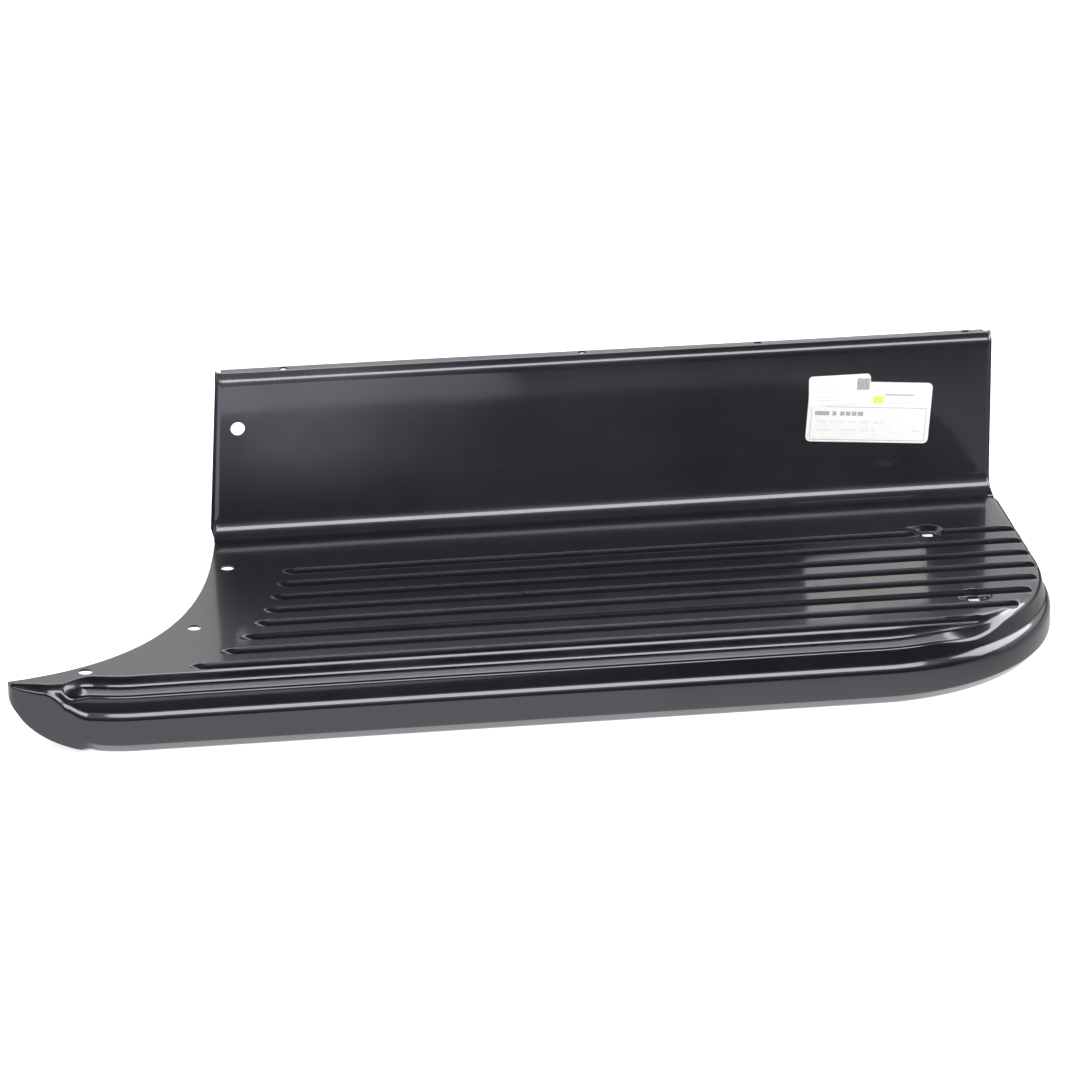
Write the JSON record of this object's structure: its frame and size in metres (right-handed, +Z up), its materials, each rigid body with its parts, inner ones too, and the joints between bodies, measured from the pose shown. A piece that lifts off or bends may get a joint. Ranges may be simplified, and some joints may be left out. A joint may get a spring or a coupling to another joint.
{
  "type": "truck bed step",
  "caption": "Pressed black steel step with a grooved tread, upright splash panel, stepped front moulding, rounded right corner and pointed left nose.",
  "frame": {"origin": "centre of the bounding box in plan, level with the bottom of the skirt", "axes": "+X along the step from the pointed nose to the rounded corner, +Y back towards the splash panel, +Z up"},
  "size_m": [0.807, 0.321, 0.181],
  "materials": {
    "coated_steel": "semi-gloss black dip coating over pressed steel sheet",
    "label_paper": "coated paper sticker with a thin grey frame and plain bars",
    "label_paper_white": "coated paper sticker"
  },
  "bodies": {
    "root": {"step": "coated_steel", "label_large": "label_paper", "label_small": "label_paper_white"}
  },
  "joints": []
}
